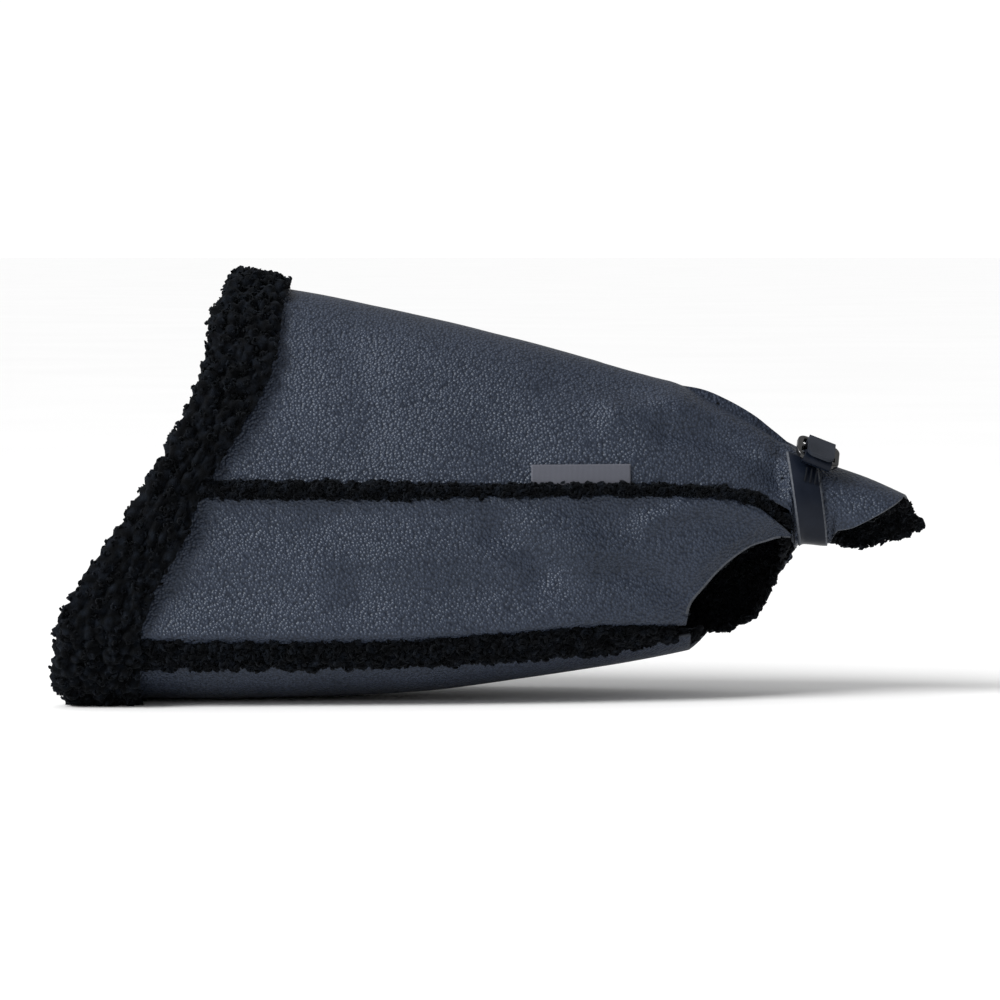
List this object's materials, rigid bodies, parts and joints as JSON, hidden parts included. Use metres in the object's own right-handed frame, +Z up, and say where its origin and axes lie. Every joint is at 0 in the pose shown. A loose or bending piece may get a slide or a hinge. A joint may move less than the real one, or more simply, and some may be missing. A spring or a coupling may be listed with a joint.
{
  "type": "bicycle handlebar muff",
  "caption": "Fleece-lined leather-look sleeve that straps round a bicycle handlebar to warm the rider's hand, with a cuff, a cable mouth and a buckled neck.",
  "frame": {"origin": "under the middle of the muff's bounding box, on the surface that the base panel lies on", "axes": "+X along the sleeve from the cuff to the collar's tip, +Z up, -Y towards the side that carries the label"},
  "size_m": [0.3665, 0.1209, 0.1744],
  "materials": {
    "leather": "grained, soft satin",
    "fleece_lining": "curly pile",
    "fleece_piping": "curly pile",
    "fleece_cuff": "thick curly pile",
    "woven_label": "woven, matte",
    "strap": "smooth satin",
    "buckle": "gloss",
    "thread": "twisted thread"
  },
  "bodies": {
    "sleeve": {"upper_panel": "leather", "lower_panel_near": "leather", "lower_panel_far": "leather", "base_panel": "leather", "upper_lining": "fleece_lining", "lower_lining_near": "fleece_lining", "lower_lining_far": "fleece_lining", "base_lining": "fleece_lining", "neck_lining": "fleece_lining", "ridge_piping_near": "fleece_piping", "ridge_piping_far": "fleece_piping", "hem_piping_near": "fleece_piping", "hem_piping_far": "fleece_piping", "fleece_cuff": "fleece_cuff", "neck_strap": "strap", "buckle_loop": "strap", "strap_stitches": "thread"},
    "buckle": {"buckle_frame": "buckle"},
    "tail": {"strap_tail": "strap"},
    "label": {"label": "woven_label"}
  },
  "joints": [
    {"name": "buckle_tilt", "type": "hinge", "parent": "sleeve", "child": "buckle", "pos_m": [0.13708, -0.01691, 0.09999], "axis": [0.9258, 0.0954, -0.3657], "range_deg": [0, 55]},
    {"name": "tail_lift", "type": "hinge", "parent": "buckle", "child": "tail", "pos_m": [0.13799, -0.00938, 0.10425], "axis": [-0.9258, -0.0954, 0.3657], "range_deg": [0, 18]},
    {"name": "label_lift", "type": "hinge", "parent": "sleeve", "child": "label", "pos_m": [0.0385, -0.03893, 0.09164], "axis": [0.9885, 0.1514, 0], "range_deg": [0, 80]}
  ]
}
